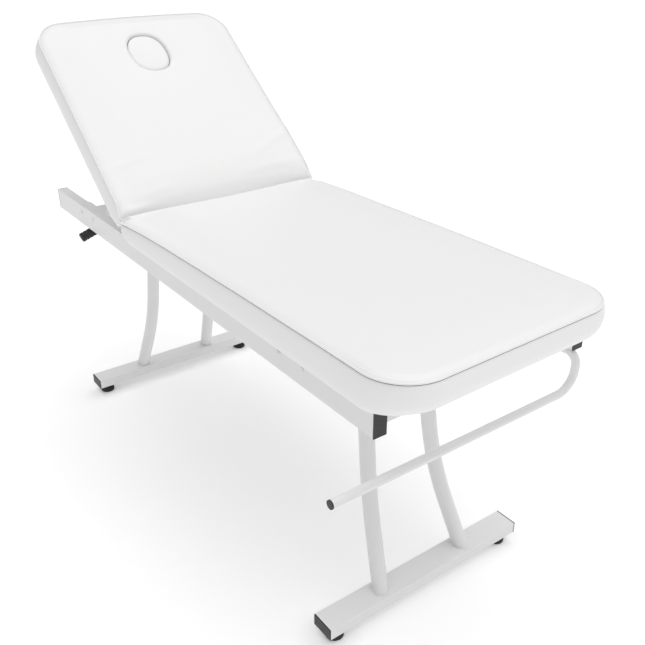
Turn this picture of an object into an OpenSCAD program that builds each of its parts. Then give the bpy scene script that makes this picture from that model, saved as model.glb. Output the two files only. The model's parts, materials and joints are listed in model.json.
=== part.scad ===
// Facial treatment bed: two-part padded top on a fixed tubular frame.
// Millimetres, +Z up. Along X the head is at -X and the feet at +X.
// The parts are laid out in a bed frame with x = 0 at the head ends of the
// side rails, y = 0 on the bed's centre plane and z = 0 on the floor, and
// place() then moves the whole bed to the middle of its own floor plan.

/* [Side rails] */
// Length of each side rail
rail_len = 1580; // [1540:10:1600]
// Height of the rail section
rail_h = 60; // [56:1:64]
// Width of the rail section
rail_w = 30; // [28:1:32]
// Width of the frame over both rails
frame_w = 580; // [570:1:590]
// Height of the rails' top face above the floor
rail_top = 694; // [680:1:720]
// Wall of every rectangular and round frame tube
tube_wall = 2; // [1.5:0.1:2.5]

/* [Leg frames] */
// Place of the rear floor bar's middle, from the rails' head ends
rear_bar_x = 120; // [100:1:135]
// Place of the front floor bar's middle, from the rails' head ends
front_bar_x = 1436; // [1420:1:1450]
// Length of a floor bar
floor_bar_len = 592; // [560:1:620]
// Width of a floor bar and of the flat cross tubes
bar_w = 60; // [56:1:60]
// Height of a floor bar and of the flat cross tubes
bar_h = 30; // [28:1:32]
// Height of the levelling feet under the floor bars
foot_h = 28; // [24:1:32]
// Diameter of a levelling foot's pad
foot_d = 44; // [36:1:50]
// Distance of each foot from the centre plane
foot_y = 264; // [240:1:270]
// Diameter of a leg tube
leg_d = 38; // [32:1:38]
// Lean of a leg tube at its top, in degrees from upright
leg_lean_top = 9; // [7:0.5:10]
// Lean of a leg tube at its base, in degrees from upright
leg_lean_base = 23.5; // [20:0.5:25]
// Centre-line radius of a leg tube's bend
leg_bend_r = 780; // [600:10:800]
// Height at which a leg tube's bend starts
leg_bend_top = 365; // [350:5:420]
// Turn of the front legs' planes away from the bed's length, in degrees
front_splay = 18.6; // [10:0.2:20]
// Turn of the rear legs' planes away from the bed's length, in degrees
rear_splay = 12; // [10:0.2:20]
// Distance of a front leg's base from the centre plane
front_base_y = 130; // [124:1:140]
// Distance of a rear leg's base from the centre plane
rear_base_y = 125; // [120:1:140]

/* [Padded top] */
// Width of both cushions
pad_w = 628; // [616:1:640]
// Length of the seat cushion
seat_len = 1122; // [1090:1:1140]
// Length of the backrest cushion
back_len = 690; // [670:1:700]
// Thickness of the cushions' padding, from its lower edge to the top
pad_t = 68; // [60:1:76]
// Corner radius of the seat cushion at the foot end
seat_corner = 108; // [80:1:120]
// Corner radius of the backrest cushion at the head end
back_corner = 90; // [70:1:110]
// Thickness of the plywood boards
board_t = 15; // [12:1:18]
// How far the boards stop inside the cushions' edge
board_inset = 13; // [12:1:20]
// How far the seat board stops inside the seat cushion's foot end
board_tuck = 60; // [56:1:64]
// Rounding of the seat cushion's lower edge at the foot end
tuck_r = 38; // [30:1:40]

/* [Backrest] */
// Angle at which the backrest is drawn, above level
back_angle = 39; // [0:1:39]
// Place of the hinge axis, from the rails' head ends
hinge_x = 539; // [530:1:545]
// Gap between the two cushions when the backrest lies flat
joint_gap = 16; // [16:1:20]
// Rounding of the cushions' top edges at the joint
joint_r = 22; // [18:1:22]

/* [Face hole] */
// Length of the face hole, along the backrest
hole_len = 142; // [130:1:160]
// Width of the face hole
hole_w = 120; // [110:1:128]
// Distance of the hole's middle from the hinge axis
hole_at = 544; // [500:1:550]
// Gap all round the plug in the hole
plug_gap = 1.2; // [0.8:0.1:2]

/* [Gas spring and release lever] */
// Diameter of the gas spring's cylinder
cyl_d = 22; // [20:1:24]
// Diameter of the gas spring's rod
rod_d = 10; // [8:1:10]
// Distance of the gas spring from the centre plane, on the lever's side
spring_y = 170; // [168:1:172]
// Distance of the spring's upper pivot from the hinge axis, along the board
spring_reach = 630; // [610:1:640]
// Diameter of the hand grip
grip_d = 28; // [24:1:28]
// Length of the hand grip
grip_len = 86; // [70:1:88]

/* [Paper roll bar] */
// Diameter of the roll bar's tube
roll_d = 19; // [16:1:25]
// Height of the roll bar's middle above the floor
roll_z = 537; // [500:1:540]
// Reach of the bar past the centre plane, on its open side
roll_reach = 389; // [340:1:420]
// Centre-line radius of the bend below the rail
roll_bend_r = 50; // [40:1:52]

/* [Hidden] */
$fn = 64;

white_steel = [0.93, 0.93, 0.93];
white_pad = [0.96, 0.96, 0.95];
black_plastic = [0.05, 0.05, 0.05];
bare_steel = [0.7, 0.7, 0.72];
plywood = [0.8, 0.66, 0.46];

slip = 0.1;                                  // radial room round a loose screw or plug
soft_gap = 0.3;                              // room between parts of different bodies
rest_gap = 0.5;                              // room left under the backrest board when flat
rail_y = (frame_w - rail_w) / 2;             // middle of a rail
rail_in = frame_w / 2 - rail_w;              // inner face of a rail
bar_top = foot_h + bar_h;                    // top face of a floor bar
cross_z = rail_top - bar_h;                  // underside of the flat cross tubes
mid_x = (rear_bar_x + front_bar_x) / 2;      // middle between the two leg frames
board_top = rail_top + board_t;
pad_low = rail_top + 2;                      // lower edge of the cushions
pad_top = pad_low + pad_t;
hinge_z = pad_top - joint_r - 14;            // hinge axis, level with the padding's middle

// Leg tube path, from its top end down, in its own upright plane
leg_drop_1 = cross_z - leg_bend_top;
leg_drop_2 = leg_bend_r * (sin(leg_lean_base) - sin(leg_lean_top));
leg_drop_3 = leg_bend_top - leg_drop_2 - bar_top;
leg_out = leg_drop_1 * tan(leg_lean_top)
    + leg_bend_r * (cos(leg_lean_top) - cos(leg_lean_base))
    + leg_drop_3 * tan(leg_lean_base);
cross_in = 140;                              // cross tube's middle, in from the floor bar's
plate_t = 5;
plate_len = 116;
plate_h = 54;
bolt_r = 4;
bolt_drop = 20;                              // bolts below the rails' top face
bolt_out = 118;                              // middle of a bolt pair, in from the floor bar
bolt_pitch = 85;

// Hinges between the boards
hinge_ys = [-200, 0, 200];
leaf_w = 60;
leaf_len = 50;
leaf_t = 2.5;
knuckle_r = 6;
knuckle_w = 20;
hinge_pin_r = 3;
leaf_screw_xs = [22, 42];

// Gas spring, from its base pivot to its eye
base_x = 214;
base_z = 648;
eye_drop = 66;                               // upper pivot below the hinge axis, when flat
neck = 26;                                   // from the cylinder's end to its eye
head_len = 30;                               // release head, past the base pivot
spring_now = norm(spring_line(back_angle));
spring_tilt = atan2(spring_line(back_angle)[1], -spring_line(back_angle)[0]);
cyl_len = norm(spring_line(0)) - 16 - neck - head_len;
piston_at = norm(spring_line(45)) - neck - cyl_len + 12;
cheek_gap = 18;                              // between the base bracket's cheeks
lug_gap = 28;                                // between the upper bracket's lugs
cheek_t = 4;
pivot_r = 5;
plunger_r = 3;
running = 0.06;                              // radial room in a running fit

// Release lever
lever_x = 216;
lever_t = 6;
lever_pivot_y = -215;
lever_pivot_z = cross_z + 8;
grip_tip_y = -310;
grip_tip_z = 600;
grip_slope = 18.9;                           // grip's axis below level, outwards
lever_foot_z = grip_tip_z + (lever_pivot_y - grip_tip_y) * tan(grip_slope);

// Paper roll bar
roll_x = rail_len + 5;                       // upright part of the bar
roll_top_r = 26;                             // bend under the rail's foot end
roll_arm_z = rail_top - rail_h - roll_d / 2 - 3;
roll_arm_len = 150;
saddle_xs = [roll_x - roll_top_r - 40, roll_x - roll_top_r - 115];

// Extent of the bed, to find the middle of its floor plan
pad_out_x = hinge_x + joint_gap / 2 + seat_len;
head_out_x = hinge_x - (joint_gap / 2 + back_len) * cos(back_angle)
    + (pad_low - hinge_z) * sin(back_angle);
head_x = min(head_out_x, -3);
place_x = -(pad_out_x + head_x) / 2;
place_y = (roll_reach - pad_w / 2) / 2;

// From the spring's base pivot to its eye, with the backrest at angle a
function spring_line(a) = [
    hinge_x - spring_reach * cos(a) - eye_drop * sin(a) - base_x,
    hinge_z + spring_reach * sin(a) - eye_drop * cos(a) - base_z];

// ---------- helpers ----------

// Moves the bed to the middle of its floor plan
module place() {
    translate([place_x, place_y, 0]) children();
}

// Turns what is laid out flat to the backrest's present angle
module raised() {
    translate([hinge_x, 0, hinge_z]) rotate([0, back_angle, 0])
        translate([-hinge_x, 0, -hinge_z]) children();
}

// Mirrors a rear leg frame's part to the front frame
module to_front() {
    translate([2 * mid_x, 0, 0]) mirror([1, 0, 0]) children();
}

// Solid bar from a corner, with its size
module block(corner, size) {
    translate(corner) cube(size);
}

module rod_x(x0, x1, y, z, r) {
    translate([x0, y, z]) rotate([0, 90, 0]) cylinder(h = x1 - x0, r = r);
}

module rod_y(x, y0, y1, z, r) {
    translate([x, y0, z]) rotate([-90, 0, 0]) cylinder(h = y1 - y0, r = r);
}

module rod_z(x, y, z0, z1, r) {
    translate([x, y, z0]) cylinder(h = z1 - z0, r = r);
}

// Rectangular tube along Y, centred on y = 0
module tube_y(x0, z0, w, h, len) {
    difference() {
        block([x0, -len / 2, z0], [w, len, h]);
        block([x0 + tube_wall, -len / 2 - 1, z0 + tube_wall],
            [w - 2 * tube_wall, len + 2, h - 2 * tube_wall]);
    }
}

// Plug for a rectangular tube's end that opens along its own +X
module tube_plug(w, h) {
    flange = 3;
    block([0, -w / 2, -h / 2], [flange, w, h]);
    block([-16, -w / 2 + tube_wall + slip, -h / 2 + tube_wall + slip],
        [16.5, w - 2 * (tube_wall + slip), h - 2 * (tube_wall + slip)]);
}

// Outline of a cushion or board: small corners at x = 0, large ones at its far end
module pad_plan(len, w, r_near, r_far) {
    translate([0, r_near - w / 2]) square([len - r_far, w - 2 * r_near]);
    translate([r_near, -w / 2]) square([len - r_far - r_near, w]);
    translate([0, r_far - w / 2]) square([len, w - 2 * r_far]);
    for (s = [-1, 1]) {
        translate([r_near, s * (w / 2 - r_near)]) circle(r_near);
        translate([len - r_far, s * (w / 2 - r_far)]) circle(r_far);
    }
}

// Long round outline of the face hole, smaller by inset all round
module hole_plan(inset) {
    r = hole_w / 2 - inset;
    half = (hole_len - hole_w) / 2;
    square([2 * half, 2 * r], center = true);
    for (s = [-1, 1]) translate([s * half, 0]) circle(r);
}

// One cushion, lying flat with its joint end at x = 0 and its far end rounded below by tuck
module pad_body(len, r_far, tuck) {
    intersection() {
        translate([0, 0, pad_low]) linear_extrude(pad_t) pad_plan(len, pad_w, 14, r_far);
        translate([0, pad_w / 2 + 1, 0]) rotate([90, 0, 0]) linear_extrude(pad_w + 2)
            union() {
                translate([joint_r, pad_low]) square([len - joint_r - tuck, pad_t]);
                translate([len / 2, pad_low + tuck]) square([len / 2, pad_t - tuck]);
                if (tuck > 0) translate([len - tuck, pad_low + tuck]) circle(tuck);
                translate([0, pad_low]) square([joint_r + 1, pad_t - joint_r]);
                translate([joint_r, pad_top - joint_r]) circle(joint_r);
            }
    }
}

// Room that a cushion leaves for its board and hinge leaves
module pad_pocket(len, r_far, far_inset) {
    translate([board_inset - slip, 0, pad_low - 1])
        linear_extrude(board_top + slip - pad_low + 1)
            pad_plan(len - board_inset - far_inset + 2 * slip,
                pad_w - 2 * board_inset + 2 * slip, 8, r_far - board_inset);
    for (y = hinge_ys)
        block([-1, y - leaf_w / 2 - 1, board_top - 1], [leaf_len + 3, leaf_w + 2, 8]);
    block([-1, 30 - pad_w / 2, pad_low - 1], [board_inset + 2, pad_w - 60, board_t + 1]);
}

module board_body(len, r_far, raise, far_inset) {
    translate([board_inset, 0, rail_top + raise]) linear_extrude(board_t - raise)
        pad_plan(len - board_inset - far_inset, pad_w - 2 * board_inset, 8, r_far - board_inset);
}

// Moves a seat part from x = 0 to its place, and a backrest part to its mirror image
module at_seat() {
    translate([hinge_x + joint_gap / 2, 0, 0]) children();
}

module at_back() {
    raised() translate([hinge_x - joint_gap / 2, 0, 0]) mirror([1, 0, 0]) children();
}

// ---------- side rails ----------

module rail(side) {
    difference() {
        block([0, side * rail_y - rail_w / 2, rail_top - rail_h], [rail_len, rail_w, rail_h]);
        block([-1, side * rail_y - rail_w / 2 + tube_wall, rail_top - rail_h + tube_wall],
            [rail_len + 2, rail_w - 2 * tube_wall, rail_h - 2 * tube_wall]);
        for (x = bolt_places())
            rod_y(x, side * rail_y - rail_w, side * rail_y + rail_w, rail_top - bolt_drop,
                bolt_r + 0.3);
    }
}

function bolt_places() = [for (bar = [rear_bar_x + bolt_out, front_bar_x - bolt_out],
    s = [-0.5, 0.5]) bar + s * bolt_pitch];

module rail_cap(end_x, side) {
    turn = end_x > 0 ? 0 : 180;
    color(black_plastic) translate([end_x, side * rail_y, rail_top - rail_h / 2])
        rotate([0, 0, turn]) tube_plug(rail_w, rail_h);
}

module side_rail_near() { color(white_steel) rail(-1); }
module side_rail_far() { color(white_steel) rail(1); }
module rail_cap_head_near() { rail_cap(0, -1); }
module rail_cap_head_far() { rail_cap(0, 1); }
module rail_cap_foot_near() { rail_cap(rail_len, -1); }
module rail_cap_foot_far() { rail_cap(rail_len, 1); }

// ---------- cross tubes between the rails ----------

// Upright cross tube just inside the rails' foot ends
module foot_cross_tube() {
    color(white_steel) tube_y(rail_len - 45, rail_top - 50, 30, 50, 2 * rail_in);
}

// Flat cross tube under the seat board's joint end
module seat_cross_tube() {
    color(white_steel) difference() {
        tube_y(hinge_x + 30, cross_z, bar_w, bar_h, 2 * rail_in);
        seat_screw_holes();
    }
}

module rear_cross() {
    tube_y(rear_bar_x + cross_in - bar_w / 2, cross_z, bar_w, bar_h, 2 * (rail_in - plate_t));
}

module rear_cross_tube() {
    color(white_steel) difference() {
        rear_cross();
        rod_x(lever_x, lever_x + 30, lever_pivot_y, lever_pivot_z, 4 + slip);
    }
}

module front_cross_tube() {
    color(white_steel) difference() {
        to_front() rear_cross();
        seat_screw_holes();
    }
}

// ---------- leg frames ----------

module end_plates() {
    for (s = [-1, 1]) difference() {
        block([rear_bar_x + bolt_out - plate_len / 2, s > 0 ? rail_in - plate_t : -rail_in,
            rail_top - plate_h], [plate_len, plate_t, plate_h]);
        for (k = [-0.5, 0.5])
            rod_y(rear_bar_x + bolt_out + k * bolt_pitch, s * rail_in - 10, s * rail_in + 10,
                rail_top - bolt_drop, bolt_r + slip);
    }
}

module rear_end_plates() { color(white_steel) end_plates(); }
module front_end_plates() { color(white_steel) to_front() end_plates(); }

// Straight round tube of radius r along +Z
module hollow(r, wall, len) {
    difference() {
        cylinder(h = len, r = r);
        translate([0, 0, -1]) cylinder(h = len + 2, r = r - wall);
    }
}

// Bent stretch of round tube about the origin, from one angle over a sweep;
// its wall is a touch thinner, so that the straight stretches run over its ends
module bend(bend_r, r, wall, from, sweep) {
    rotate([0, 0, from]) rotate_extrude(angle = sweep) translate([bend_r, 0]) difference() {
        circle(r - 0.05);
        circle(r - wall + 0.05);
    }
}

// A leg's tube in its own upright plane: straight, bent, straight
module leg_tube() {
    lap = 1;
    len_1 = leg_drop_1 / cos(leg_lean_top) + 20;
    len_3 = leg_drop_3 / cos(leg_lean_base) + 30;
    u1 = leg_drop_1 * tan(leg_lean_top);
    u2 = u1 + leg_bend_r * (cos(leg_lean_top) - cos(leg_lean_base));
    z2 = leg_bend_top - leg_drop_2;
    r = leg_d / 2;
    translate([u1, 0, leg_bend_top]) rotate([0, -leg_lean_top, 0])
        translate([0, 0, -lap]) hollow(r, tube_wall, len_1);
    translate([u1 + leg_bend_r * cos(leg_lean_top), 0,
        leg_bend_top + leg_bend_r * sin(leg_lean_top)])
        rotate([90, 0, 0])
            bend(leg_bend_r, r, tube_wall, 180 + leg_lean_top, leg_lean_base - leg_lean_top);
    translate([u2, 0, z2]) rotate([0, -leg_lean_base, 0])
        translate([0, 0, lap - len_3]) hollow(r, tube_wall, len_3);
}

// Front leg's shape on the side given, cut level at both ends
module leg(side, splay, base_y) {
    top_x = front_bar_x - leg_out * cos(splay);
    top_y = base_y - leg_out * sin(splay);
    intersection() {
        translate([top_x, side * top_y, 0]) rotate([0, 0, side * splay]) leg_tube();
        block([top_x - 100, side * base_y - 150, bar_top], [400, 300, cross_z - bar_top]);
    }
}

module front_leg_near() { color(white_steel) leg(-1, front_splay, front_base_y); }
module front_leg_far() { color(white_steel) leg(1, front_splay, front_base_y); }
module rear_leg_near() { color(white_steel) to_front() leg(-1, rear_splay, rear_base_y); }
module rear_leg_far() { color(white_steel) to_front() leg(1, rear_splay, rear_base_y); }

module floor_bar(x) {
    color(white_steel) difference() {
        tube_y(x - bar_w / 2, foot_h, bar_w, bar_h, floor_bar_len);
        for (s = [-1, 1]) rod_z(x, s * foot_y, foot_h - 1, foot_h + tube_wall + 1, 5 + slip);
    }
}

module rear_floor_bar() { floor_bar(rear_bar_x); }
module front_floor_bar() { floor_bar(front_bar_x); }

module bar_cap(x, side) {
    color(black_plastic) translate([x, side * floor_bar_len / 2, foot_h + bar_h / 2])
        rotate([0, 0, side * 90]) tube_plug(bar_w, bar_h);
}

module rear_bar_cap_near() { bar_cap(rear_bar_x, -1); }
module rear_bar_cap_far() { bar_cap(rear_bar_x, 1); }
module front_bar_cap_near() { bar_cap(front_bar_x, -1); }
module front_bar_cap_far() { bar_cap(front_bar_x, 1); }

// Screw-in levelling foot: tapered pad, hexagonal collar and threaded stem
module levelling_foot(x, side) {
    pad_h = 15;
    color(black_plastic) translate([x, side * foot_y, 0]) rotate_extrude()
        polygon([[0, 0], [foot_d / 2 - 2, 0], [foot_d / 2, 2], [foot_d / 2, pad_h - 4],
            [foot_d / 2 - 3, pad_h], [11, pad_h + 1], [11, foot_h - soft_gap], [5, foot_h - soft_gap],
            [5, foot_h + tube_wall + 14], [0, foot_h + tube_wall + 14]]);
}

module levelling_foot_rear_near() { levelling_foot(rear_bar_x, -1); }
module levelling_foot_rear_far() { levelling_foot(rear_bar_x, 1); }
module levelling_foot_front_near() { levelling_foot(front_bar_x, -1); }
module levelling_foot_front_far() { levelling_foot(front_bar_x, 1); }

// Eight bolts that hold the leg frames' end plates to the rails
module leg_frame_bolts() {
    color(white_steel) for (x = bolt_places()) for (s = [-1, 1])
        translate([x, s * frame_w / 2, rail_top - bolt_drop]) rotate([s * -90, 0, 0]) {
            cylinder(h = 3, r1 = 7, r2 = 5.5);
            translate([0, 0, -rail_w - plate_t]) cylinder(h = rail_w + plate_t + 1, r = bolt_r);
        }
}

// ---------- seat ----------

seat_screw_xs = [hinge_x + 30 + bar_w / 2, front_bar_x - cross_in];
seat_screw_y = 180;

module seat_screw_holes() {
    for (x = seat_screw_xs) for (s = [-1, 1])
        rod_z(x, s * seat_screw_y, cross_z - 1, rail_top + 1, 3.4);
}

module seat_board() {
    color(plywood) difference() {
        at_seat() board_body(seat_len, seat_corner, 0, board_tuck);
        for (x = seat_screw_xs) for (s = [-1, 1])
            rod_z(x, s * seat_screw_y, rail_top - 1, rail_top + 10, 3 + slip);
        for (y = hinge_ys) for (x = leaf_screw_xs) for (s = [-1, 1])
            rod_z(hinge_x + x, y + s * 18, board_top - 10, board_top + 1, 2 + slip);
    }
}

module seat_cushion() {
    color(white_pad) at_seat() difference() {
        pad_body(seat_len, seat_corner, tuck_r);
        pad_pocket(seat_len, seat_corner, board_tuck);
    }
}

// Four screws up through the flat cross tubes into the seat board
module seat_board_screws() {
    color(bare_steel) for (x = seat_screw_xs) for (s = [-1, 1]) {
        rod_z(x, s * seat_screw_y, cross_z - 3.5, cross_z, 7);
        rod_z(x, s * seat_screw_y, cross_z - 1, rail_top + 9, 3);
    }
}

// ---------- hinges between the boards ----------

// Cranked leaf on the seat's side of the axis, with knuckles at the given places
module leaf(knuckles) {
    for (y = hinge_ys) translate([hinge_x, y, 0]) difference() {
        union() {
            block([5, -leaf_w / 2, board_top], [leaf_len, leaf_w, leaf_t]);
            for (k = knuckles) {
                block([5, k - knuckle_w / 2 + 0.4, board_top],
                    [leaf_t + 0.3, knuckle_w - 0.8, hinge_z - board_top]);
                rod_y(0, k - knuckle_w / 2 + 0.4, k + knuckle_w / 2 - 0.4, hinge_z, knuckle_r);
            }
        }
        rod_y(0, -leaf_w / 2 - 1, leaf_w / 2 + 1, hinge_z, hinge_pin_r + running);
        for (x = leaf_screw_xs) for (s = [-1, 1])
            rod_z(x, s * 18, board_top - 1, board_top + leaf_t + 1, 2 + slip);
    }
}

module leaf_screws() {
    for (y = hinge_ys) for (x = leaf_screw_xs) for (s = [-1, 1]) {
        rod_z(hinge_x + x, y + s * 18, board_top - 9, board_top + leaf_t + 0.5, 2);
        rod_z(hinge_x + x, y + s * 18, board_top + leaf_t, board_top + leaf_t + 2, 4);
    }
}

// Mirrors a hinge part across the axis and turns it with the backrest
module to_back() {
    raised() translate([2 * hinge_x, 0, 0]) mirror([1, 0, 0]) children();
}

module hinge_leaves_seat() { color(bare_steel) leaf([-knuckle_w, knuckle_w]); }
module hinge_leaves_backrest() { color(bare_steel) to_back() leaf([0]); }
module hinge_screws_seat() { color(bare_steel) leaf_screws(); }
module hinge_screws_backrest() { color(bare_steel) to_back() leaf_screws(); }

module hinge_pins() {
    color(bare_steel) for (y = hinge_ys)
        rod_y(hinge_x, y - leaf_w / 2, y + leaf_w / 2, hinge_z, hinge_pin_r);
}

// ---------- backrest ----------

hole_x = hole_at - joint_gap / 2;            // face hole's middle, from the cushion's joint end
hole_step = 10;                              // ledge in the board that carries the plug
bracket_x = spring_reach - joint_gap / 2;

module backrest_board() {
    color(plywood) at_back() difference() {
        board_body(back_len, back_corner, rest_gap, board_inset);
        translate([hole_x, 0, rail_top - 1]) linear_extrude(board_t + 2) hole_plan(hole_step);
        for (y = hinge_ys) for (x = leaf_screw_xs) for (s = [-1, 1])
            rod_z(x - joint_gap / 2, y + s * 18, board_top - 10, board_top + 1, 2 + slip);
    }
}

module backrest_cushion() {
    color(white_pad) at_back() difference() {
        pad_body(back_len, back_corner, 0);
        pad_pocket(back_len, back_corner, board_inset);
        translate([hole_x, 0, pad_low - 1]) linear_extrude(pad_t + 2) hole_plan(0);
    }
}

plug_board_t = 10;

module face_plug_board() {
    color(plywood) at_back() translate([hole_x, 0, board_top]) linear_extrude(plug_board_t)
        hole_plan(plug_gap + 2);
}

module face_plug_cushion() {
    color(white_pad) at_back() translate([hole_x, 0, board_top + plug_board_t])
        linear_extrude(pad_top - board_top - plug_board_t) hole_plan(plug_gap);
}

// ---------- gas spring ----------

// Lays a part drawn along +X from the base pivot along the spring
module along_spring() {
    translate([base_x, -spring_y, base_z]) rotate([0, 180 + spring_tilt, 0]) children();
}

// Pair of round-ended plates, gap apart, about the spring's plane
module cheeks(x, z, r, gap) {
    for (s = [-1, 1]) {
        y = s * (gap / 2 + cheek_t / 2) - cheek_t / 2 - spring_y;
        rod_y(x, y, y + cheek_t, z, r);
    }
}

// Pair of flanged lugs on the underside of the backrest board
module spring_top_bracket() {
    flat_z = hinge_z - eye_drop;
    color(white_steel) raised() translate([hinge_x - spring_reach, 0, 0]) difference() {
        union() {
            cheeks(0, flat_z, 13, lug_gap);
            for (s = [-1, 1]) {
                block([-13, s * (lug_gap + cheek_t) / 2 - cheek_t / 2 - spring_y, flat_z],
                    [26, cheek_t, rail_top + rest_gap - flat_z]);
                block([-22, s * (lug_gap / 2 + 10) - 10 - spring_y, rail_top - 3],
                    [44, 20, 3 + rest_gap]);
            }
        }
        rod_y(0, -spring_y - 30, -spring_y + 30, flat_z, 4);
    }
}

// The two ends of the upper pivot bolt, one in each lug
module spring_top_bolt() {
    color(bare_steel) raised() for (s = [-1, 1])
        translate([hinge_x - spring_reach, s * lug_gap / 2 - spring_y, hinge_z - eye_drop])
            rotate([-s * 90, 0, 0]) {
                cylinder(h = cheek_t + 1, r = 4);
                translate([0, 0, cheek_t]) cylinder(h = 5, r = 7.5, $fn = 6);
            }
}

module gas_spring_cylinder() {
    start = spring_now - neck - cyl_len;
    r = cyl_d / 2;
    color([0.12, 0.12, 0.13]) along_spring() difference() {
        union() {
            rod_x(start, start + cyl_len, 0, 0, r);
            rod_x(start + cyl_len - 1, spring_now, 0, 0, 5);
            rod_y(spring_now, -8, 8, 0, 9);
        }
        rod_x(start + 6, start + cyl_len - 4, 0, 0, r - 2);
        rod_x(start - 1, start + 7, 0, 0, rod_d / 2 + running);
    }
}

module gas_spring_rod() {
    color(bare_steel) along_spring() {
        rod_x(head_len - 8, piston_at, 0, 0, rod_d / 2);
        rod_x(piston_at - 8, piston_at, 0, 0, cyl_d / 2 - 2 - running);
    }
}

// Head screwed on the rod's end: it turns on the base bush
module spring_release_head() {
    color(black_plastic) along_spring() difference() {
        union() {
            rod_y(0, -8.5, 8.5, 0, 11);
            block([0, -8.5, -9], [head_len, 17, 18]);
        }
        rod_y(0, -10, 10, 0, pivot_r + running);
        rod_x(head_len - 8, head_len + 1, 0, 0, rod_d / 2);
    }
}

// Clevis welded to the rear cross tube's head-side face
module spring_base_bracket() {
    face = rear_bar_x + cross_in - bar_w / 2;
    color(white_steel) difference() {
        union() {
            cheeks(base_x, base_z, 12, cheek_gap);
            for (s = [-1, 1])
                block([base_x, s * (cheek_gap + cheek_t) / 2 - cheek_t / 2 - spring_y, base_z - 12],
                    [face - base_x, cheek_t, rail_top - 4 - base_z + 12]);
        }
        rod_y(base_x, -spring_y - 20, -spring_y + 20, base_z, pivot_r);
    }
}

// Hollow pivot: the release plunger slides in it
module spring_base_bush() {
    half = cheek_gap / 2 + cheek_t;
    color(bare_steel) difference() {
        union() {
            rod_y(base_x, -spring_y - half, -spring_y + half, base_z, pivot_r);
            rod_y(base_x, -spring_y + half, -spring_y + half + 4, base_z, 8);
        }
        rod_y(base_x, -spring_y - half - 1, -spring_y + 4, base_z, plunger_r + running);
    }
}

module release_plunger() {
    color(bare_steel) {
        rod_y(base_x, lever_pivot_y + 7 + slip, -spring_y - 5, base_z, plunger_r);
        rod_y(base_x, lever_pivot_y + 7 + slip, lever_pivot_y + 9, base_z, 4);
    }
}

// ---------- release lever ----------

module release_lever() {
    x0 = lever_x - lever_t / 2;
    color(white_steel) difference() {
        union() {
            rod_x(x0, x0 + lever_t, lever_pivot_y, lever_pivot_z, 9);
            block([x0, lever_pivot_y - 7, lever_foot_z], [lever_t, 14, lever_pivot_z - lever_foot_z]);
            rod_x(x0, x0 + lever_t, lever_pivot_y, lever_foot_z, 7);
            lever_line() rod_z(0, 0, 0, 96, 4.5);
        }
        rod_x(x0 - 1, x0 + lever_t + 1, lever_pivot_y, lever_pivot_z, 4 + running);
    }
}

// Runs +Z out along the grip's axis, from the foot of the lever
module lever_line() {
    translate([lever_x, lever_pivot_y, lever_foot_z]) rotate([90 + grip_slope, 0, 0]) children();
}

module lever_grip() {
    tip = (lever_pivot_y - grip_tip_y) / cos(grip_slope);
    ribs = 7;
    color(black_plastic) lever_line() difference() {
        union() {
            rod_z(0, 0, tip - grip_len, tip, grip_d / 2 - 1.2);
            for (i = [0 : ribs - 1])
                rod_z(0, 0, tip - grip_len + i * grip_len / ribs + 2,
                    tip - grip_len + (i + 1) * grip_len / ribs - 2, grip_d / 2);
        }
        rod_z(0, 0, tip - grip_len - 1, 96 + slip, 4.5);
    }
}

module lever_pivot_bolt() {
    x0 = lever_x - lever_t / 2;
    face = rear_bar_x + cross_in - bar_w / 2;
    color(bare_steel) {
        rod_x(x0 - 4.5, x0 - soft_gap, lever_pivot_y, lever_pivot_z, 7);
        rod_x(x0 - 1, face + 6, lever_pivot_y, lever_pivot_z, 4);
    }
}

module lever_spacer() {
    x0 = lever_x + lever_t / 2 + soft_gap;
    face = rear_bar_x + cross_in - bar_w / 2;
    color(bare_steel) difference() {
        rod_x(x0, face, lever_pivot_y, lever_pivot_z, 7);
        rod_x(x0 - 1, face + 1, lever_pivot_y, lever_pivot_z, 4 + slip);
    }
}

// ---------- paper roll bar ----------

// Arm under the far rail, upright, then the bar across the bed
module roll_bar() {
    arm_x = roll_x - roll_top_r;
    r = roll_d / 2;
    wall = 1.5;
    lap = 0.5;
    up = roll_arm_z - roll_top_r - roll_z - roll_bend_r;
    color(white_steel) {
        translate([arm_x - roll_arm_len, rail_y, roll_arm_z]) rotate([0, 90, 0])
            hollow(r, wall, roll_arm_len + lap);
        translate([arm_x, rail_y, roll_arm_z - roll_top_r]) rotate([90, 0, 0])
            bend(roll_top_r, r, wall, 0, 90);
        translate([roll_x, rail_y, roll_z + roll_bend_r - lap]) hollow(r, wall, up + 2 * lap);
        translate([roll_x, rail_y - roll_bend_r, roll_z + roll_bend_r]) rotate([0, 90, 0])
            bend(roll_bend_r, r, wall, 0, 90);
        translate([roll_x, rail_y - roll_bend_r + lap, roll_z]) rotate([90, 0, 0])
            hollow(r, wall, rail_y - roll_bend_r + roll_reach - 3 + lap);
    }
}

module roll_bar_plug() {
    color(black_plastic) {
        rod_y(roll_x, -roll_reach, -roll_reach + 3, roll_z, roll_d / 2);
        rod_y(roll_x, -roll_reach + 2, -roll_reach + 16, roll_z, roll_d / 2 - 1.5 - slip);
    }
}

// Two saddles welded between the arm and the rail's underside
module roll_bar_saddles() {
    low = rail_top - rail_h;
    color(white_steel) for (x = saddle_xs) difference() {
        block([x - 12, rail_y - 11, roll_arm_z], [24, 22, low - roll_arm_z]);
        rod_x(x - 13, x + 13, rail_y, roll_arm_z, roll_d / 2 + 0.02);
    }
}

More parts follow.
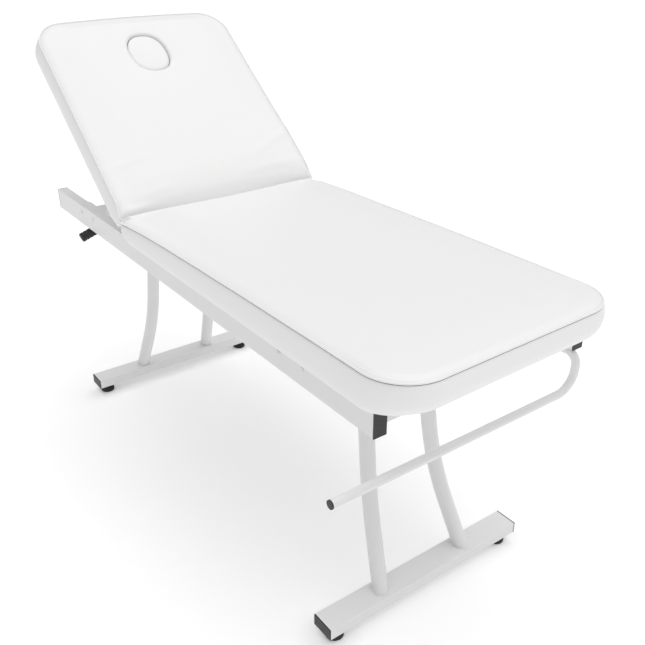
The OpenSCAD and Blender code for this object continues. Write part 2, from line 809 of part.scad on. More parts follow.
place() side_rail_near();
place() side_rail_far();
place() rail_cap_head_near();
place() rail_cap_head_far();
place() rail_cap_foot_near();
place() rail_cap_foot_far();
place() foot_cross_tube();
place() seat_cross_tube();
place() rear_cross_tube();
place() front_cross_tube();
place() rear_end_plates();
place() front_end_plates();
place() rear_leg_near();
place() rear_leg_far();
place() front_leg_near();
place() front_leg_far();
place() rear_floor_bar();
place() front_floor_bar();
place() rear_bar_cap_near();
place() rear_bar_cap_far();
place() front_bar_cap_near();
place() front_bar_cap_far();
place() levelling_foot_rear_near();
place() levelling_foot_rear_far();
place() levelling_foot_front_near();
place() levelling_foot_front_far();
place() leg_frame_bolts();
place() seat_board();
place() seat_cushion();
place() seat_board_screws();
place() hinge_leaves_seat();
place() hinge_leaves_backrest();
place() hinge_pins();
place() hinge_screws_seat();
place() hinge_screws_backrest();
place() backrest_board();
place() backrest_cushion();
place() face_plug_board();
place() face_plug_cushion();
place() spring_top_bracket();
place() spring_top_bolt();
place() gas_spring_cylinder();
place() gas_spring_rod();
place() spring_release_head();
place() release_plunger();
place() spring_base_bracket();
place() spring_base_bush();
place() release_lever();
place() lever_grip();
place() lever_pivot_bolt();
place() lever_spacer();
place() roll_bar();
place() roll_bar_plug();
place() roll_bar_saddles();
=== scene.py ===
# Visual model of a facial treatment bed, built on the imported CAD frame.
# Metres, +Z up, +X to the foot end. The profile tables and the shape functions work in
# millimetres. bed() takes the bed's own millimetres: x from the rails' head ends, y from
# the centre plane, z from the floor.
import bpy
import bmesh
import json
import math
from mathutils import Matrix, Vector
from mathutils.geometry import delaunay_2d_cdt


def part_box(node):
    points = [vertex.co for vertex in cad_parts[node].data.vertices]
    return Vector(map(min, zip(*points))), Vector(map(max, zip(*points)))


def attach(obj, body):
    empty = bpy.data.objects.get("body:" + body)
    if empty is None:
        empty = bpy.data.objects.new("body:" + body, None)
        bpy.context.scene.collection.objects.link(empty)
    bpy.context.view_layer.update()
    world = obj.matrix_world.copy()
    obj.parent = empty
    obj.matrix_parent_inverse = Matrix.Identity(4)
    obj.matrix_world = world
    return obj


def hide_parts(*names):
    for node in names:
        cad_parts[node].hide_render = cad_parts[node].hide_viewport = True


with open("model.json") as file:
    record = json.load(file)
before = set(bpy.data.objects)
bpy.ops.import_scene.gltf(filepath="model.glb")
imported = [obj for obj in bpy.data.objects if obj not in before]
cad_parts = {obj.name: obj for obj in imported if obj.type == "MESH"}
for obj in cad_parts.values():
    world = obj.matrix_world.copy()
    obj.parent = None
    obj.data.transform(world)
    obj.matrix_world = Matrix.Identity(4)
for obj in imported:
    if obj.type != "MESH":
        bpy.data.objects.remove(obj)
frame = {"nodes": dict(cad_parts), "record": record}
scene = bpy.context.scene
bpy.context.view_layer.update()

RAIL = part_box("side_rail_near")[0]
RAIL_OUTER_Y = 0.290                        # from the centre plane to the rail's outer face
PLACE = Vector((RAIL[0], RAIL[1] + RAIL_OUTER_Y, 0.0))
BACK_ANGLE = math.radians(39.0)


def bed(x, y, z):
    return Vector((x, y, z)) / 1000 + PLACE


HINGE = bed(539, 0, 728)
# turns a backrest that lies flat to the angle in the photograph
LIE = (Matrix.Translation(HINGE) @ Matrix.Rotation(BACK_ANGLE, 4, "Y")
       @ Matrix.Translation(-HINGE))


def smooth(x):
    x = max(0.0, min(1.0, x))
    return x * x * (3 - 2 * x)


def mix(a, b, t):
    return a + (b - a) * t


# ---------- materials ----------

def material(name, color, rough, metal=0.0, coat=0.0, spec=0.5):
    m = bpy.data.materials.new(name)
    m.use_nodes = True
    p = m.node_tree.nodes["Principled BSDF"]
    p.inputs["Base Color"].default_value = (*color, 1)
    p.inputs["Roughness"].default_value = rough
    p.inputs["Metallic"].default_value = metal
    p.inputs["Coat Weight"].default_value = coat
    p.inputs["Coat Roughness"].default_value = 0.25
    p.inputs["Specular IOR Level"].default_value = spec
    m.diffuse_color = (*color, 1)
    return m, m.node_tree, p


def noise(tree, scale, detail=3.0, rough=0.55):
    coord = tree.nodes.new("ShaderNodeTexCoord")
    n = tree.nodes.new("ShaderNodeTexNoise")
    n.inputs["Scale"].default_value = scale
    n.inputs["Detail"].default_value = detail
    n.inputs["Roughness"].default_value = rough
    tree.links.new(coord.outputs["Object"], n.inputs["Vector"])
    return n


def bump(tree, height, strength, distance, before=None):
    b = tree.nodes.new("ShaderNodeBump")
    b.inputs["Strength"].default_value = strength
    b.inputs["Distance"].default_value = distance
    tree.links.new(height, b.inputs["Height"])
    if before is not None:
        tree.links.new(before.outputs["Normal"], b.inputs["Normal"])
    return b


def vary_rough(tree, p, fac, low, high):
    r = tree.nodes.new("ShaderNodeMapRange")
    r.inputs["To Min"].default_value = low
    r.inputs["To Max"].default_value = high
    tree.links.new(fac, r.inputs["Value"])
    tree.links.new(r.outputs["Result"], p.inputs["Roughness"])


def upholstery():
    m, t, p = material("white_upholstery", (0.87, 0.87, 0.868), 0.42, coat=0.06)
    coord = t.nodes.new("ShaderNodeTexCoord")
    grain = t.nodes.new("ShaderNodeTexVoronoi")
    grain.feature = "DISTANCE_TO_EDGE"
    grain.inputs["Scale"].default_value = 620.0
    warp = noise(t, 160.0, 2.0)
    add = t.nodes.new("ShaderNodeMixRGB")
    add.blend_type = "ADD"
    add.inputs["Fac"].default_value = 0.004
    t.links.new(coord.outputs["Object"], add.inputs["Color1"])
    t.links.new(warp.outputs["Color"], add.inputs["Color2"])
    t.links.new(add.outputs["Color"], grain.inputs["Vector"])
    fine = bump(t, grain.outputs["Distance"], 0.10, 0.0005)
    wide = noise(t, 14.0, 2.0)
    b = bump(t, wide.outputs["Fac"], 0.05, 0.004, fine)
    t.links.new(b.outputs["Normal"], p.inputs["Normal"])
    vary_rough(t, p, noise(t, 24.0).outputs["Fac"], 0.36, 0.5)
    return m


def powder_coat():
    m, t, p = material("white_powder_coat", (0.80, 0.80, 0.80), 0.38, coat=0.1)
    b = bump(t, noise(t, 900.0, 2.0).outputs["Fac"], 0.06, 0.0004)
    t.links.new(b.outputs["Normal"], p.inputs["Normal"])
    vary_rough(t, p, noise(t, 30.0).outputs["Fac"], 0.32, 0.44)
    return m


def moulded(name, color, low, high):
    m, t, p = material(name, color, low)
    b = bump(t, noise(t, 1400.0, 2.0).outputs["Fac"], 0.15, 0.0004)
    t.links.new(b.outputs["Normal"], p.inputs["Normal"])
    vary_rough(t, p, noise(t, 60.0).outputs["Fac"], low, high)
    return m


def zinc():
    m, t, p = material("zinc_steel", (0.66, 0.67, 0.68), 0.32, metal=1.0)
    vary_rough(t, p, noise(t, 220.0, 4.0).outputs["Fac"], 0.24, 0.42)
    return m


def dark_paint():
    m, t, p = material("dark_paint", (0.03, 0.03, 0.033), 0.3, coat=0.4)
    vary_rough(t, p, noise(t, 60.0).outputs["Fac"], 0.26, 0.38)
    return m


def plywood():
    m, t, p = material("plywood", (0.72, 0.56, 0.37), 0.6)
    coord = t.nodes.new("ShaderNodeTexCoord")
    stretch = t.nodes.new("ShaderNodeMapping")
    stretch.inputs["Scale"].default_value = (1.2, 14.0, 14.0)
    n = t.nodes.new("ShaderNodeTexNoise")
    n.inputs["Scale"].default_value = 9.0
    n.inputs["Detail"].default_value = 6.0
    t.links.new(coord.outputs["Object"], stretch.inputs["Vector"])
    t.links.new(stretch.outputs["Vector"], n.inputs["Vector"])
    ramp = t.nodes.new("ShaderNodeValToRGB")
    ramp.color_ramp.elements[0].position = 0.35
    ramp.color_ramp.elements[0].color = (0.56, 0.40, 0.24, 1)
    ramp.color_ramp.elements[1].position = 0.7
    ramp.color_ramp.elements[1].color = (0.78, 0.62, 0.42, 1)
    t.links.new(n.outputs["Fac"], ramp.inputs["Fac"])
    t.links.new(ramp.outputs["Color"], p.inputs["Base Color"])
    b = bump(t, n.outputs["Fac"], 0.15, 0.001)
    t.links.new(b.outputs["Normal"], p.inputs["Normal"])
    return m


def lining():
    m, t, p = material("white_lining", (0.80, 0.80, 0.795), 0.9, spec=0.25)
    b = bump(t, noise(t, 700.0, 3.0, 0.7).outputs["Fac"], 0.2, 0.0005)
    t.links.new(b.outputs["Normal"], p.inputs["Normal"])
    return m


PVC = upholstery()
LINING = lining()
STEEL = powder_coat()
PLASTIC = moulded("black_plastic", (0.012, 0.012, 0.013), 0.38, 0.52)
RUBBER = moulded("black_rubber", (0.014, 0.014, 0.015), 0.55, 0.75)
ZINC = zinc()
DARK = dark_paint()
PLY = plywood()
# painted shade: this dark grey colours the thin tube under the piping bead, in place of the bead's
# shadow
PAINTED_SEAM_SHADE = material("seam_shadow", (0.20, 0.20, 0.21), 0.8)[0]

LOOK = {"white_steel": STEEL, "padding": PVC, "black_plastic": PLASTIC, "black_rubber": RUBBER,
        "plywood": PLY, "bare_steel": ZINC, "dark_steel": DARK}
SOFT = ("seat_cushion", "backrest_cushion", "face_plug_cushion")
LINED = ("seat_board", "backrest_board")    # wrapped in a lining below the cushions
slots = {s["node"]: s["material_slot"] for s in frame["record"]["subparts"]}
# width of the rounded edges, mm
EDGES = {"side_rail": 3.0, "rail_cap": 2.0, "floor_bar": 3.0, "bar_cap": 2.0, "cross_tube": 2.5,
         "seat_board": 1.0, "backrest_board": 1.0, "end_plates": 0.8, "bracket": 0.5,
         "release_lever": 0.8, "lever_grip": 0.6, "levelling_foot": 1.0}
for name, o in frame["nodes"].items():
    if name in SOFT:
        continue
    o.data.materials.clear()
    o.data.materials.append(LINING if name in LINED else LOOK[slots[name]])
    for part, width in EDGES.items():
        if part in name and "screws" not in name:
            b = o.modifiers.new("edge", "BEVEL")
            b.width = width / 1000
            b.segments = 3
            b.limit_method = "ANGLE"
            b.angle_limit = math.radians(40)
            b.use_clamp_overlap = True
            b.harden_normals = False
            break
    for poly in o.data.polygons:
        poly.use_smooth = True
    o.data.set_sharp_from_angle(angle=math.radians(35))


# ---------- padded pieces ----------

OUTLINE_STEP = 10                           # spacing of the points along the plan outline
JOINT_BLEND = 42                            # length over which END turns into SIDE


def outline(length, width, r_near, r_far, d):
    """Points (u, v, e, f) of the plan outline, inset by d.

    e is 1 at the joint end, and f is 1 at the far end.
    """
    out = []
    w = width / 2
    rn = max(r_near - d, 1.5)
    rf = max(r_far - d, 1.5)
    n_side = max(12, int(length / OUTLINE_STEP))
    n_end = int(width / OUTLINE_STEP)

    def arc(cu, cv, r, a0, a1, n, e0, e1, f0, f1):
        for i in range(n):
            t = i / n
            a = math.radians(mix(a0, a1, t))
            out.append((cu + r * math.cos(a), cv + r * math.sin(a),
                        mix(e0, e1, t), mix(f0, f1, t)))

    def line(u0, v0, u1, v1, n, e=None, f=0.0):
        for i in range(n):
            u = mix(u0, u1, i / n)
            near = 0.5 * smooth(1 - (u - r_near) / JOINT_BLEND) if e is None else e
            out.append((u, mix(v0, v1, i / n), near, f))

    a, b = w - d - rn, w - d - rf
    line(d, a, d, -a, n_end, 1.0)
    arc(d + rn, -a, rn, 180, 270, 8, 1.0, 0.5, 0, 0)
    line(d + rn, -(w - d), length - d - rf, -(w - d), n_side)
    arc(length - d - rf, -b, rf, 270, 360, 18, 0, 0, 0, 1)
    line(length - d, -b, length - d, b, n_end, 0.0, 1.0)
    arc(length - d - rf, b, rf, 0, 90, 18, 0, 0, 1, 0)
    line(length - d - rf, w - d, d + rn, w - d, n_side)
    arc(d + rn, a, rn, 90, 180, 8, 0.5, 1.0, 0, 0)
    return out


# Cross-sections (inset, height) from the underside round to the top panel:
# along the sides, at the joint, and at the far end with its full round below
SIDE = [(26, 0.5), (13, 0.6), (7.5, 2.0), (3.6, 5.5), (1.4, 11), (0.2, 19), (0, 28), (0.9, 38),
        (2.6, 47), (4.8, 55), (7.0, 61.5), (9.0, 65.2), (12.2, 68.0), (15.8, 69.6), (18, 70.0),
        (20.4, 70.6), (27, 71.4)]
END = [(44, 0.5), (32, 0.6), (24, 2.0), (16, 6.0), (9.5, 11.5), (4.5, 18), (1.0, 25), (-1.2, 31.5),
       (-1.6, 36.5), (-1.2, 41), (0.0, 45.5), (1.4, 50.5), (3.6, 56.5), (6.8, 61.6), (9.0, 64.0),
       (12.4, 66.4), (20, 69.4)]
FOOT = [(58, 0.5), (44, 0.6), (32, 1.9), (22, 4.8), (13.5, 9.8), (7.0, 17.4), (2.6, 27), (0.4, 38),
        (0.3, 51), (2.0, 57), (4.8, 62), (8.0, 65.2), (11.4, 68.0), (15.0, 69.6), (17.2, 70.0),
        (19.8, 70.6), (26.4, 71.4)]
SEAM_RING = 11                              # row with the piping
SEAM_HEIGHT = 65.2                          # height of that row in SIDE
GROOVE_RING = 14                            # row that dips beside the piping
UNDER_RINGS = 2                             # rows of the flat lining below


def table(rows, x):
    """Smooth curve through rows of (x, y)."""
    for (x0, y0), (x1, y1) in zip(rows, rows[1:]):
        if x <= x1:
            t = (x - x0) / (x1 - x0)
            return mix(y0, y1, smooth(t) * 0.5 + 0.5 * max(0, t))
    return rows[-1][1]


def superellipse(a, b, n, count):
    pts = []
    for i in range(count):
        t = 2 * math.pi * i / count
        c, s = math.cos(t), math.sin(t)
        pts.append((a * math.copysign(abs(c) ** (2 / n), c),
                    b * math.copysign(abs(s) ** (2 / n), s)))
    return pts


HOLE_AT = (534.0, -4.0)                     # middle of the face hole in the flat backrest
HOLE = (71.0, 60.0, 2.3)                    # its half length, half width and exponent
HOLE_POINTS = 72
HOLE_LIP = 9                                # width of the hole's rolled lip
HOLE_UNDER = 26                             # width of the flat ring round it below
# the lip and the hole's wall: how far outside the hole, and how far below the top
LIP = ((5.4, 0.3), (2.9, 1.1), (1.4, 2.6), (0.5, 5.0), (0.1, 9), (0, 20), (0, 34), (0, 50),
       (0, 60), (1.5, 61), (14, 62), (HOLE_UNDER, 63))
TOP_STEP = 12.0                             # spacing of the points in the top panel
ROW_RATIO = 0.866                           # distance of its rows, in steps
RIM = 36                                    # those points stay this far inside the outline
MERGE = 1e-4                                # points closer than this are one


def in_hole(u, v, off):
    a = abs((u - HOLE_AT[0]) / (HOLE[0] + off)) ** HOLE[2]
    b = abs((v - HOLE_AT[1]) / (HOLE[1] + off)) ** HOLE[2]
    return a + b < 1


def middle(points, face):
    return sum((Vector(points[i]) for i in face), Vector((0, 0))) / len(face)


def pad_mesh(length, width, r_near, r_far, near_side, far_side, crown, skew, bow, under_h,
             round_foot, hole):
    """Vertices, faces, fixed points and seam of one cushion, lying flat.

    near_side and far_side: rows of (distance from the joint, seam height)
    crown: how far the top panel rises; skew, bow: shape of the far end in plan
    under_h: height of the lining below
    """
    verts, faces = [], []
    rings = []

    def seam_h(u, v):
        return mix(table(near_side, u), table(far_side, u), smooth(v / width + 0.5))

    def shift(u, v):
        end = bow * (1 - (v / 250) ** 2) - skew * (v / width + 0.5)
        return u + end * smooth((u - length + 320) / 320)

    for j in range(len(SIDE)):
        (ds, hs), (de, he), (df, hf) = SIDE[j], END[j], FOOT[j] if round_foot else SIDE[j]
        ring = []
        plans = [outline(length, width, r_near, r_far, max(0.0, d)) for d in (ds, de, df)]
        for (u, v, e, f), (u1, v1, _, _), (u2, v2, _, _) in zip(*plans):
            k, q = smooth(e), smooth(f * 1.25)
            uu = mix(mix(u, u2, q), u1, k) + min(de, 0) * k
            vv = mix(mix(v, v2, q), v1, k)
            h = mix(mix(hs, hf, q), he, k)
            seam = seam_h(uu, vv)
            if j <= SEAM_RING:
                h *= mix(seam / SEAM_HEIGHT, 1.0, k)
            else:
                h += (seam - SEAM_HEIGHT) * (1 - k)
            if j < UNDER_RINGS:
                h = under_h
            if j == GROOVE_RING:
                h -= 0.9 * smooth((uu - length + 260) / 160)
            ring.append(len(verts))
            verts.append((shift(uu, vv), vv, h))
        rings.append(ring)
    n = len(rings[0])
    for a, b in zip(rings, rings[1:]):
        for i in range(n):
            k = (i + 1) % n
            faces.append((a[i], a[k], b[k], b[i]))

    def top_h(u, v):
        rise = seam_h(u, v) - SEAM_HEIGHT
        edge = ((1 - math.exp(-(width / 2 - abs(v) - 24) / 85))
                * (1 - math.exp(-(length - u - 24) / 85)))
        near = 1 - math.exp(-(u - 18) / 24)
        # the low seam beside the joint doesn't pull the middle of the panel down
        inside = smooth((width / 2 - abs(v) - 24) / 120)
        level = mix(rise * smooth((u - 4) / 40), max(rise, 5.0) * near, inside)
        dome = crown * edge * (1 - 0.75 * math.exp(-(u - 20) / 70))
        return mix(69.0, 71.4, near) + level + dome

    # top panel: ring, optional hole ring, and evenly spaced points between
    loop = [(verts[i][0], verts[i][1]) for i in rings[-1]]
    pts = [Vector(p) for p in loop]
    edges = [(i, (i + 1) % n) for i in range(n)]
    hole_loop = []
    if hole:
        lip = superellipse(HOLE[0] + HOLE_LIP, HOLE[1] + HOLE_LIP, HOLE[2], HOLE_POINTS)
        start = len(pts)
        hole_loop = [(HOLE_AT[0] + a, HOLE_AT[1] + b) for a, b in lip]
        pts += [Vector(p) for p in hole_loop]
        edges += [(start + i, start + (i + 1) % len(lip)) for i in range(len(lip))]
    for r in range(int(length / (TOP_STEP * ROW_RATIO))):
        for c in range(int(width / TOP_STEP) + 2):
            u = 32 + r * TOP_STEP * ROW_RATIO
            v = -width / 2 + 34 + (c + 0.5 * (r % 2)) * TOP_STEP
            if u > length - RIM or abs(v) > width / 2 - RIM:
                continue
            if u > length - r_far and abs(v) > width / 2 - r_far:
                if math.hypot(u - length + r_far, abs(v) - width / 2 + r_far) > r_far - RIM:
                    continue
            u = shift(u, v)
            if hole and in_hole(u, v, HOLE_LIP + 8):
                continue
            pts.append(Vector((u, v)))
    got = delaunay_2d_cdt(pts, edges, [], 1, MERGE)
    index = {}
    for k, (p, orig) in enumerate(zip(got[0], got[3])):
        if orig and orig[0] < n:
            index[k] = rings[-1][orig[0]]
        else:
            index[k] = len(verts)
            verts.append((p.x, p.y, top_h(p.x, p.y)))
    hole_ids = {}
    for k, orig in enumerate(got[3]):
        if hole and orig and n <= orig[0] < n + len(hole_loop):
            hole_ids[orig[0] - n] = index[k]
    for f in got[2]:
        c = middle(got[0], f)
        if hole and in_hole(c.x, c.y, HOLE_LIP):
            continue
        faces.append(tuple(index[i] for i in f))
    pins = set(rings[0] + rings[1] + rings[SEAM_RING])
    if hole:
        last = [hole_ids[i] for i in range(len(hole_loop))]
        for off, drop in LIP:
            ring = []
            plan = superellipse(HOLE[0] + off, HOLE[1] + off, HOLE[2], HOLE_POINTS)
            for (a, b), (lu, lv) in zip(plan, hole_loop):
                ring.append(len(verts))
                if drop > 60:
                    h = under_h
                elif drop > 50:
                    h = 3.0
                else:
                    h = top_h(lu, lv) - drop
                verts.append((HOLE_AT[0] + a, HOLE_AT[1] + b, h))
            for i in range(HOLE_POINTS):
                k = (i + 1) % HOLE_POINTS
                faces.append((last[i], last[k], ring[k], ring[i]))
            last = ring
            if drop > 5:
                pins |= set(ring)
        inner = last
    # underside
    under = [Vector(verts[i][:2]) for i in rings[0]]
    e2 = [(i, (i + 1) % n) for i in range(n)]
    if hole:
        s = len(under)
        under += [Vector(verts[i][:2]) for i in inner]
        e2 += [(s + i, s + (i + 1) % HOLE_POINTS) for i in range(HOLE_POINTS)]
    got = delaunay_2d_cdt(under, e2, [], 1, MERGE)
    ids = {}
    for k, orig in enumerate(got[3]):
        o = orig[0]
        ids[k] = rings[0][o] if o < n else inner[o - n]
    for f in got[2]:
        c = middle(got[0], f)
        if hole and in_hole(c.x, c.y, HOLE_UNDER):
            continue
        faces.append(tuple(ids[i] for i in f))
    return verts, faces, pins, rings[SEAM_RING]


def make_object(name, verts, faces, mat):
    me = bpy.data.meshes.new(name)
    me.from_pydata([Vector(v) / 1000 for v in verts], [], faces)
    bm = bmesh.new()
    bm.from_mesh(me)
    bmesh.ops.recalc_face_normals(bm, faces=bm.faces)
    bm.to_mesh(me)
    bm.free()
    me.materials.append(mat)
    o = bpy.data.objects.new(name, me)
    scene.collection.objects.link(o)
    return o


CLOTH_STEPS = 20
SMOOTHING = 30


def stuff(o, pins, pressure, cap):
    """Blows the piece up against its seams as cloth, and keeps the result.

    No point moves further than cap, in mm.
    """
    group = o.vertex_groups.new(name="pins")
    group.add(sorted(pins), 1.0, "REPLACE")
    mod = o.modifiers.new("cloth", "CLOTH")
    s = mod.settings
    s.quality = 6
    s.mass = 0.3
    s.tension_stiffness = 24
    s.compression_stiffness = 24
    s.shear_stiffness = 16
    s.bending_stiffness = 1.6
    s.tension_damping = 12
    s.compression_damping = 12
    s.use_pressure = True
    s.uniform_pressure_force = pressure
    s.shrink_min = -0.004
    s.vertex_group_mass = "pins"
    s.effector_weights.gravity = 0
    mod.collision_settings.use_collision = False
    mod.point_cache.frame_start = 1
    mod.point_cache.frame_end = CLOTH_STEPS
    for f in range(1, CLOTH_STEPS + 1):
        scene.frame_set(f)
    ev = o.evaluated_get(bpy.context.evaluated_depsgraph_get())
    moved = [v.co.copy() for v in ev.data.vertices]
    scene.frame_set(1)
    o.modifiers.remove(mod)
    o.vertex_groups.remove(group)
    push = []
    for v, p in zip(o.data.vertices, moved):
        d = p - v.co
        if d.length > cap / 1000:
            d *= cap / 1000 / d.length
        push.append(Vector() if v.index in pins else d)
    near = [[] for _ in push]
    for e in o.data.edges:
        a, b = e.vertices
        near[a].append(b)
        near[b].append(a)
    # the cover is taut, so that the swelling has no sharp step beside the seam
    for _ in range(SMOOTHING):
        push = [d if v in pins or not near[v] else
                d * 0.4 + sum((push[k] for k in near[v]), Vector()) * (0.6 / len(near[v]))
                for v, d in enumerate(push)]
    for v, d in zip(o.data.vertices, push):
        v.co += d


def finish_pad(o, move):
    o.data.transform(move)
    if move.determinant() < 0:
        o.data.flip_normals()
    for p in o.data.polygons:
        p.use_smooth = True
    sub = o.modifiers.new("smooth", "SUBSURF")
    sub.levels = 1
    sub.render_levels = 1


def tube(name, points, radius, mat):
    """Closed ring of round section through the points, which are in metres."""
    c = bpy.data.curves.new(name, "CURVE")
    c.dimensions = "3D"
    c.bevel_depth = radius / 1000
    c.bevel_resolution = 4
    sp = c.splines.new("POLY")
    sp.points.add(len(points) - 1)
    for q, p in zip(sp.points, points):
        q.co = (*p, 1)
    sp.use_cyclic_u = True
    sp.use_smooth = True
    c.materials.append(mat)
    o = bpy.data.objects.new(name, c)
    scene.collection.objects.link(o)
    return o


def fold(o, lines):
    """Soft creases: (start u, v, end u, v, height, width), in mm, in the flat piece."""
    for v in o.data.vertices:
        u, w, h = v.co * 1000
        if h < 55:
            continue
        for u0, v0, u1, v1, amp, wide in lines:
            du, dv = u1 - u0, v1 - v0
            ln = math.hypot(du, dv)
            t = ((u - u0) * du + (w - v0) * dv) / (ln * ln)
            if t < -0.3 or t > 1.3:
                continue
            off = ((u - u0) * dv - (w - v0) * du) / ln
            fade = smooth((t + 0.3) / 0.45) * smooth((1.3 - t) / 0.45)
            v.co.z += (amp / 1000 * fade * math.exp(-(off / wide) ** 2)
                       * (1 - 1.2 * (off / wide) ** 2))


def piping(name, o, seam, move, body):
    """Piped bead along the seam, with a thin dark tube just below it as painted shade under the
    bead.
    """
    pts = [o.data.vertices[i].co.copy() for i in seam]
    n = len(pts)
    bead, line = [], []
    for i in range(n):
        t = (pts[(i + 1) % n] - pts[i - 1]).normalized()
        side = Vector((t.y, -t.x, 0)).normalized()
        bead.append(move @ (pts[i] + side * 0.0012 + Vector((0, 0, 0.0010))))
        line.append(move @ (pts[i] + side * 0.0014 + Vector((0, 0, -0.0017))))
    a = tube(name, bead, 2.2, PVC)
    # painted shade: thin dark tube just below the bead, standing in for its shadow
    b = tube(name + "_painted_shade", line, 0.9, PAINTED_SEAM_SHADE)
    for c in (a, b):
        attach(c, body)


SEAT_MOVE = Matrix.Translation(bed(547, 0, 694))
BACK_MOVE = LIE @ Matrix.Translation(bed(531, 4, 694)) @ Matrix.Scale(-1, 4, Vector((1, 0, 0)))

verts, faces, pins, seam = pad_mesh(
    1122, 628, 14, 108,
    [(0, 48), (50, 51), (120, 55.5), (180, 59), (300, 63), (440, 66.5), (700, 71.5), (900, 74),
     (1122, 75)],
    [(0, 56), (60, 64), (200, 68), (700, 73), (1122, 74)], 3.0, 12.0, 0.0, -0.4, True, False)
seat = make_object("seat_pad", verts, faces, PVC)
stuff(seat, pins, 4.0, 6)
piping("seat_piping", seat, seam, SEAT_MOVE, "frame")
finish_pad(seat, SEAT_MOVE)
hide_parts("seat_cushion")
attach(seat, "frame")

verts, faces, pins, seam = pad_mesh(
    688, 628, 14, 88, [(0, 58), (60, 64), (300, 66), (688, 65)],
    [(0, 64), (60, 72), (160, 74), (300, 68), (430, 65), (688, 62)],
    3.5, -5.0, 6.0, 0.15, False, True)
back = make_object("backrest_pad", verts, faces, PVC)
stuff(back, pins, 4.0, 6)
fold(back, [(150, -290, 165, -170, 1.6, 13), (40, -270, 60, -150, 1.4, 12),
            (175, 300, 120, 170, 1.8, 14), (70, 290, 62, 120, 1.2, 14)])
piping("backrest_piping", back, seam, BACK_MOVE, "backrest")
finish_pad(back, BACK_MOVE)
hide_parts("backrest_cushion")
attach(back, "backrest")


def plug_mesh():
    """Vertices, faces and fixed points of the plug, in the flat backrest's place."""
    verts, faces, pins = [], [], set()
    count = HOLE_POINTS
    prof = [(3.0, 26), (0.7, 27), (0.7, 45), (0.7, 62), (0.9, 67), (1.7, 70.4), (3.4, 73.0),
            (6.8, 75.0), (13, 76.2)]
    rings = []
    for off, h in prof:
        ring = []
        for a, b in superellipse(HOLE[0] - off, HOLE[1] - off, HOLE[2], count):
            ring.append(len(verts))
            verts.append((HOLE_AT[0] + a, HOLE_AT[1] + b, h))
        rings.append(ring)
    for a, b in zip(rings, rings[1:]):
        for i in range(count):
            k = (i + 1) % count
            faces.append((a[i], a[k], b[k], b[i]))
    last = rings[-1]
    for f in (0.8, 0.6, 0.4, 0.2):
        ring = []
        for i in rings[-1]:
            u = HOLE_AT[0] + (verts[i][0] - HOLE_AT[0]) * f
            v = HOLE_AT[1] + (verts[i][1] - HOLE_AT[1]) * f
            ring.append(len(verts))
            verts.append((u, v, 76.2 + 2.2 * (1 - f * f)))
        for i in range(count):
            k = (i + 1) % count
            faces.append((last[i], last[k], ring[k], ring[i]))
        last = ring
    verts.append((HOLE_AT[0], HOLE_AT[1], 78.4))
    for i in range(count):
        faces.append((last[i], last[(i + 1) % count], len(verts) - 1))
    faces.append(tuple(reversed(rings[0])))
    for r in rings[:5]:
        pins |= set(r)
    return verts, faces, pins


verts, faces, pins = plug_mesh()
plug = make_object("face_plug_pad", verts, faces, PVC)
stuff(plug, pins, 3.0, 3)
finish_pad(plug, BACK_MOVE)
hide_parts("face_plug_cushion")
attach(plug, "face_plug")


# ---------- small steel details ----------

WELD_RADIUS = 1.8
LEG_RADIUS = 19
WELD_HEIGHT = 58.6                          # just above the floor bar's top


def weld(name, centre, along, across, half_long, half_wide):
    """Weld bead round a tube where it stands on a flat face."""
    pts = []
    for i in range(64):
        a = 2 * math.pi * i / 64
        r = 1 + 0.006 * math.sin(23 * a)
        out = along * (half_long * math.cos(a)) + across * (half_wide * math.sin(a))
        pts.append(centre + out * r / 1000)
    w = tube(name, pts, WELD_RADIUS, STEEL)
    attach(w, "frame")


BASE_LEAN = math.radians(23.5)              # of a leg from upright
for end, sign, bar_x, base_y, turn in (("front", 1, 1436, 130, 18.6),
                                       ("rear", -1, 120, 125, 12.0)):
    splay = math.radians(turn)
    for side, s in (("near", -1), ("far", 1)):
        along = Vector((sign * math.cos(splay), s * math.sin(splay), 0))
        across = Vector((-along.y, along.x, 0))
        weld(f"weld_{end}_{side}_base", bed(bar_x, s * base_y, WELD_HEIGHT), along, across,
             LEG_RADIUS / math.cos(BASE_LEAN), LEG_RADIUS)


# ---------- floor, lights and camera ----------

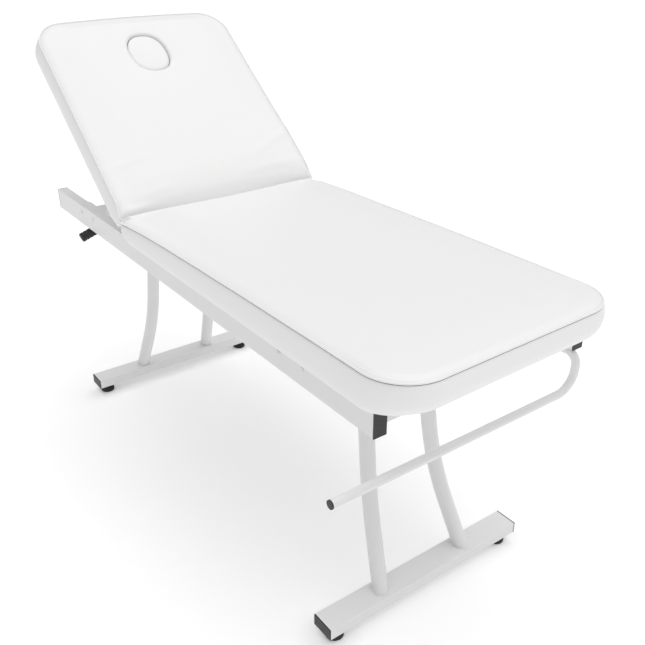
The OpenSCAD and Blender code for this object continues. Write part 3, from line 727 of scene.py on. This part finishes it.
bpy.ops.mesh.primitive_plane_add(size=120, location=(0, 0, -0.0005))
floor = bpy.context.object
floor.name = "floor"
fm, ft, fp = material("pale_floor", (0.92, 0.92, 0.92), 0.8, spec=0.2)
fp.inputs["Emission Color"].default_value = (1, 1, 1, 1)
fp.inputs["Emission Strength"].default_value = 0.17
floor.data.materials.append(fm)

world = bpy.data.worlds.new("studio")
scene.world = world
world.use_nodes = True
wt = world.node_tree
light = wt.nodes["Background"]
light.inputs["Color"].default_value = (1, 1, 1, 1)
light.inputs["Strength"].default_value = 0.41
# the backdrop that a camera sees past the floor's edge is as white as the floor
backdrop = wt.nodes.new("ShaderNodeBackground")
backdrop.inputs["Color"].default_value = (1, 1, 1, 1)
backdrop.inputs["Strength"].default_value = 1.1
rays = wt.nodes.new("ShaderNodeLightPath")
both = wt.nodes.new("ShaderNodeMixShader")
wt.links.new(rays.outputs["Is Camera Ray"], both.inputs[0])
wt.links.new(light.outputs[0], both.inputs[1])
wt.links.new(backdrop.outputs[0], both.inputs[2])
wt.links.new(both.outputs[0], wt.nodes["World Output"].inputs["Surface"])

sun = bpy.data.lights.new("soft_overhead", "SUN")
sun.energy = 1.98
sun.angle = math.radians(80)
overhead = bpy.data.objects.new("soft_overhead", sun)
scene.collection.objects.link(overhead)
overhead.rotation_euler = Vector((-0.12, -0.12, -1)).to_track_quat("-Z", "Y").to_euler()

SENSOR = 36
FRAME = 645                                 # the picture's width
FOCAL = 795.75                              # focal length in the same unit
cam = bpy.data.cameras.new("camera")
cam.sensor_width = SENSOR
cam.lens = SENSOR * FOCAL / FRAME
cam.clip_end = 200
camera = bpy.data.objects.new("camera", cam)
scene.collection.objects.link(camera)
camera.matrix_world = (
    Matrix.Translation(bed(2474.0, -1048.2, 1463.4))
    @ Matrix.Rotation(math.radians(54.04), 4, "Z")
    @ Matrix.Rotation(math.radians(62.994), 4, "X")
    @ Matrix.Rotation(math.radians(-0.16), 4, "Z"))
scene.camera = camera
scene.view_settings.view_transform = "Standard"
scene.view_settings.look = "None"
scene.view_settings.exposure = 0.0
